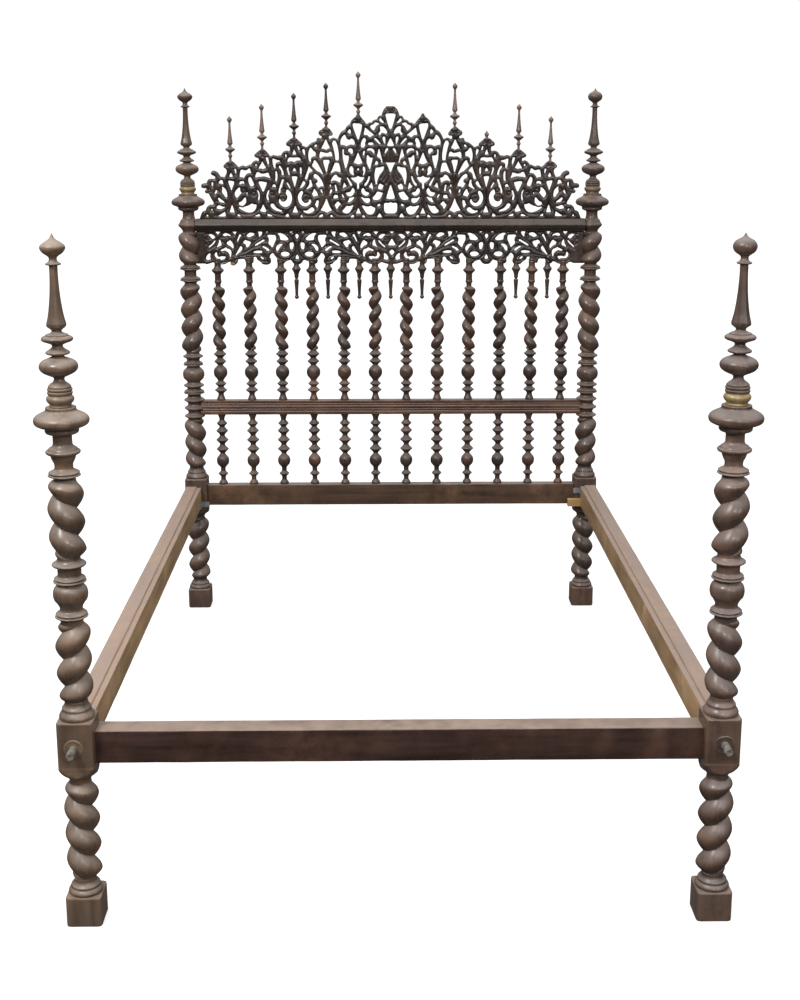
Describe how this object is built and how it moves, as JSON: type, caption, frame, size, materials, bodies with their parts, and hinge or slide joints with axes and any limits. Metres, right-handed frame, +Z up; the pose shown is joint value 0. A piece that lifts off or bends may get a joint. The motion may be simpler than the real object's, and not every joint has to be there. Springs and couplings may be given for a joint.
{
  "type": "four poster bed",
  "caption": "Four poster bed frame with barley twist posts, a spindle headboard under a pierced frieze and crest, plain rails and lift-out post finials.",
  "frame": {"origin": "on the floor, at the bottom centre of the bounding box", "axes": "+Z up, +Y along the bed from its foot to its head, +X to the right as seen from the foot"},
  "size_m": [1.45, 2.13, 1.8213],
  "materials": {
    "post_wood": "turned rosewood with a worn wax finish",
    "spindle_wood": "dark turned rosewood, waxed",
    "carved_wood": "very dark carved rosewood, waxed",
    "cornice_wood": "dark rosewood, dusty on top",
    "rail_wood": "dark red-brown rosewood, waxed",
    "side_rail_wood": "bare brown wood, greyed with dust",
    "brass": "dull aged brass",
    "iron": "rough greyish oxidised iron",
    "zinc": "galvanised",
    "pale_wood": "raw softwood"
  },
  "bodies": {
    "frame": {"post_foot_left": "post_wood", "post_foot_right": "post_wood", "post_head_left": "post_wood", "post_head_right": "post_wood", "collar_foot_left": "brass", "collar_foot_right": "brass", "collar_head_left": "brass", "collar_head_right": "brass", "foot_rail": "rail_wood", "head_rail": "rail_wood", "mid_rail": "rail_wood", "side_rail_left": "side_rail_wood", "side_rail_right": "side_rail_wood", "bed_bolt_left": "iron", "bed_bolt_right": "iron", "cornice": "cornice_wood", "frieze": "carved_wood", "crest": "carved_wood", "upper_spindle_01": "spindle_wood", "upper_spindle_02": "spindle_wood", "upper_spindle_03": "spindle_wood", "upper_spindle_04": "spindle_wood", "upper_spindle_05": "spindle_wood", "upper_spindle_06": "spindle_wood", "upper_spindle_07": "spindle_wood", "upper_spindle_08": "spindle_wood", "upper_spindle_09": "spindle_wood", "upper_spindle_10": "spindle_wood", "upper_spindle_11": "spindle_wood", "upper_spindle_12": "spindle_wood", "lower_spindle_01": "spindle_wood", "lower_spindle_02": "spindle_wood", "lower_spindle_03": "spindle_wood", "lower_spindle_04": "spindle_wood", "lower_spindle_05": "spindle_wood", "lower_spindle_06": "spindle_wood", "lower_spindle_07": "spindle_wood", "lower_spindle_08": "spindle_wood", "lower_spindle_09": "spindle_wood", "lower_spindle_10": "spindle_wood", "lower_spindle_11": "spindle_wood", "lower_spindle_12": "spindle_wood", "crest_finial_01": "spindle_wood", "crest_finial_02": "spindle_wood", "crest_finial_03": "spindle_wood", "crest_finial_04": "spindle_wood", "crest_finial_05": "spindle_wood", "crest_finial_06": "spindle_wood", "crest_finial_07": "spindle_wood", "crest_finial_08": "spindle_wood", "angle_plate_left": "zinc", "angle_plate_right": "zinc", "corner_block_right": "pale_wood"},
    "finial_foot_left_body": {"finial_foot_left": "post_wood"},
    "finial_foot_right_body": {"finial_foot_right": "post_wood"},
    "finial_head_left_body": {"finial_head_left": "post_wood"},
    "finial_head_right_body": {"finial_head_right": "post_wood"}
  },
  "joints": [
    {"name": "lift_finial_foot_left", "type": "slide", "parent": "frame", "child": "finial_foot_left_body", "axis": [0, 0, 1], "range_m": [0, 0.044]},
    {"name": "lift_finial_foot_right", "type": "slide", "parent": "frame", "child": "finial_foot_right_body", "axis": [0, 0, 1], "range_m": [0, 0.044]},
    {"name": "lift_finial_head_left", "type": "slide", "parent": "frame", "child": "finial_head_left_body", "axis": [0, 0, 1], "range_m": [0, 0.044]},
    {"name": "lift_finial_head_right", "type": "slide", "parent": "frame", "child": "finial_head_right_body", "axis": [0, 0, 1], "range_m": [0, 0.044]}
  ]
}
